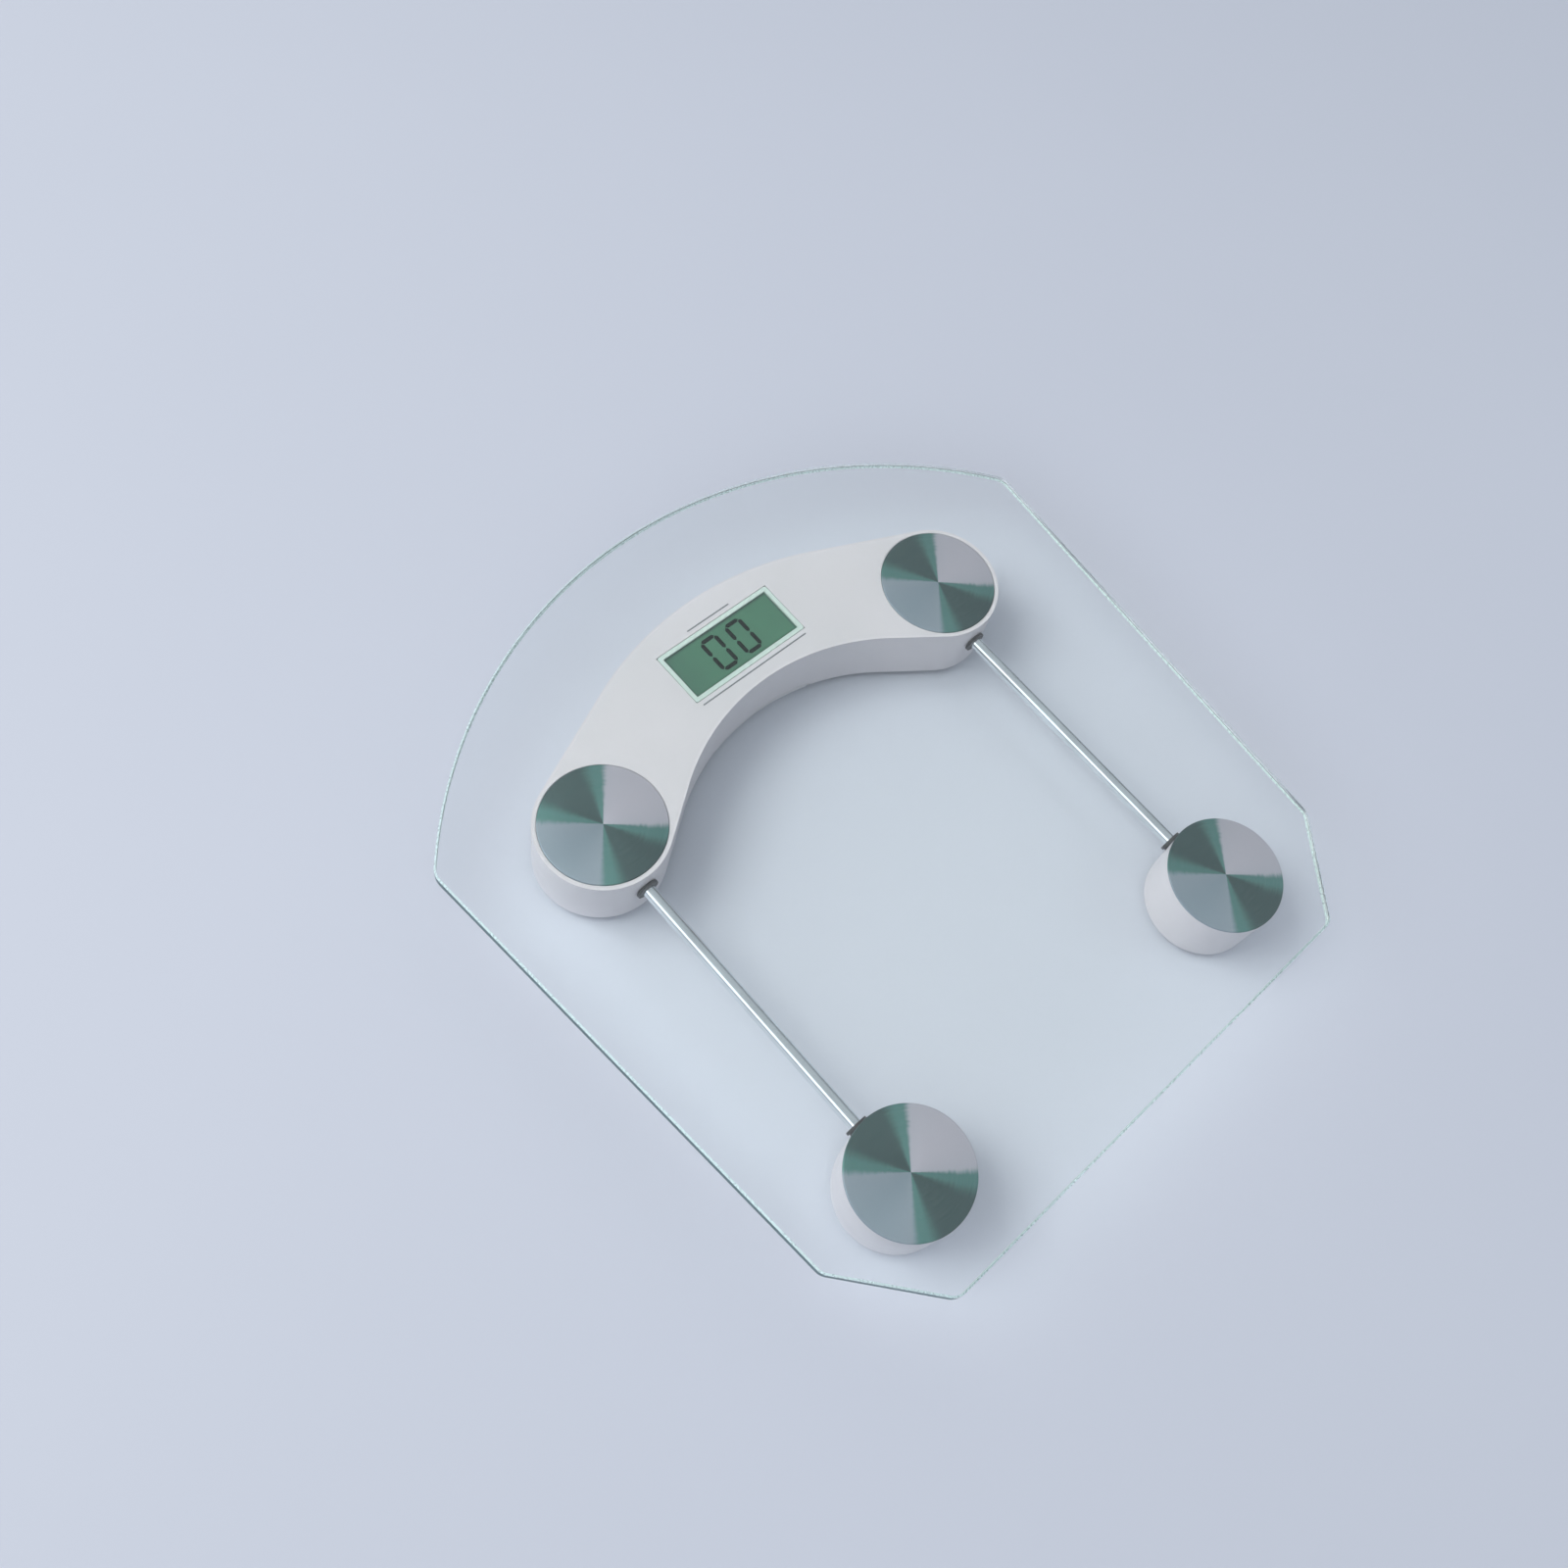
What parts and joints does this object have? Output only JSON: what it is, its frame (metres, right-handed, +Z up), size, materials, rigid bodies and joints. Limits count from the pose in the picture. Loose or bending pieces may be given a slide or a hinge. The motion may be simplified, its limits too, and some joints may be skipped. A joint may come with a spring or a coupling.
{
  "type": "digital bathroom scale",
  "caption": "Low personal scale: clear glass platform on load-cell feet, a white crescent housing with a green display at the back, and chrome wire tubes.",
  "frame": {"origin": "on the floor, under the middle of the platform's bounding box", "axes": "+X is the user's right, +Y points from the user to the display side, +Z is up"},
  "size_m": [0.3296, 0.3346, 0.043],
  "materials": {
    "clear_glass": "clear tempered glass with ground green edges",
    "clear_adhesive": "clear optical adhesive film",
    "white_plastic": "moulded satin white",
    "grey_plastic": "moulded light grey",
    "frame_plastic": "pale mint",
    "spun_steel": "circular brushed",
    "chrome_tube": "bright chrome",
    "zinc_steel": "zinc plated",
    "cell_steel": "stamped, satin",
    "foot_rubber": "matt non-slip rubber",
    "gauge_foil": "amber film with clear resin",
    "lcd_glass": "thin panes",
    "lcd_ink": "dark liquid crystal segments",
    "light_guide": "green translucent acrylic",
    "zebra_rubber": "striped silicone",
    "board_green": "solder mask on fibreglass",
    "chip_resin": "black epoxy",
    "component_brown": "ceramic parts",
    "switch_black": "black nylon",
    "battery_jacket": "plain dark steel jacket",
    "lead_red": "PVC insulation",
    "wire_sheath": "grey PVC sheath"
  },
  "bodies": {
    "platform": {"back_left_cell_clamp": "grey_plastic", "back_left_cell_wire": "wire_sheath", "back_left_disc": "spun_steel", "back_left_load_cell": "cell_steel", "back_right_cell_clamp": "grey_plastic", "back_right_cell_wire": "wire_sheath", "back_right_disc": "spun_steel", "back_right_load_cell": "cell_steel", "battery": "battery_jacket", "battery_leads": "lead_red", "battery_snap": "switch_black", "board_components": "component_brown", "board_screws": "zinc_steel", "circuit_board": "board_green", "controller_chip": "chip_resin", "cover_screws": "zinc_steel", "crescent_bond_film": "clear_adhesive", "crescent_cover": "white_plastic", "crescent_shell": "white_plastic", "front_left_cell_clamp": "grey_plastic", "front_left_cell_wire": "wire_sheath", "front_left_disc": "spun_steel", "front_left_foot_housing": "white_plastic", "front_left_load_cell": "cell_steel", "front_right_cell_clamp": "grey_plastic", "front_right_cell_wire": "wire_sheath", "front_right_disc": "spun_steel", "front_right_foot_housing": "white_plastic", "front_right_load_cell": "cell_steel", "glass_platform": "clear_glass", "lcd_digits": "lcd_ink", "lcd_frame": "frame_plastic", "lcd_light_guide": "light_guide", "lcd_panel": "lcd_glass", "lcd_zebra_strips": "zebra_rubber", "left_tube_bushes": "switch_black", "left_wire_tube": "chrome_tube", "right_tube_bushes": "switch_black", "right_wire_tube": "chrome_tube", "strain_gauges": "gauge_foil", "tap_switch": "zinc_steel", "unit_switch": "switch_black", "wire_plugs": "white_plastic"},
    "battery_door": {"battery_door": "white_plastic"},
    "unit_button": {"unit_button": "grey_plastic"},
    "front_left_foot": {"front_left_foot_shoe": "white_plastic", "front_left_foot_screw": "zinc_steel", "front_left_foot_pad": "foot_rubber"},
    "front_right_foot": {"front_right_foot_shoe": "white_plastic", "front_right_foot_screw": "zinc_steel", "front_right_foot_pad": "foot_rubber"},
    "back_left_foot": {"back_left_foot_shoe": "white_plastic", "back_left_foot_screw": "zinc_steel", "back_left_foot_pad": "foot_rubber"},
    "back_right_foot": {"back_right_foot_shoe": "white_plastic", "back_right_foot_screw": "zinc_steel", "back_right_foot_pad": "foot_rubber"}
  },
  "joints": [
    {"name": "front_left_foot_travel", "type": "slide", "parent": "platform", "child": "front_left_foot", "axis": [0, 0, 1], "range_m": [0, 0.0006], "stiffness_N_per_m": 4000, "springref_m": -0.008},
    {"name": "front_right_foot_travel", "type": "slide", "parent": "platform", "child": "front_right_foot", "axis": [0, 0, 1], "range_m": [0, 0.0006], "stiffness_N_per_m": 4000, "springref_m": -0.008},
    {"name": "back_left_foot_travel", "type": "slide", "parent": "platform", "child": "back_left_foot", "axis": [0, 0, 1], "range_m": [0, 0.0006], "stiffness_N_per_m": 4000, "springref_m": -0.008},
    {"name": "back_right_foot_travel", "type": "slide", "parent": "platform", "child": "back_right_foot", "axis": [0, 0, 1], "range_m": [0, 0.0006], "stiffness_N_per_m": 4000, "springref_m": -0.008},
    {"name": "battery_door_slide", "type": "slide", "parent": "platform", "child": "battery_door", "axis": [0, -1, 0], "range_m": [0, 0.036]},
    {"name": "unit_button_press", "type": "slide", "parent": "platform", "child": "unit_button", "axis": [0, 0, 1], "range_m": [0, 0.0008], "stiffness_N_per_m": 600, "springref_m": -0.0008}
  ]
}
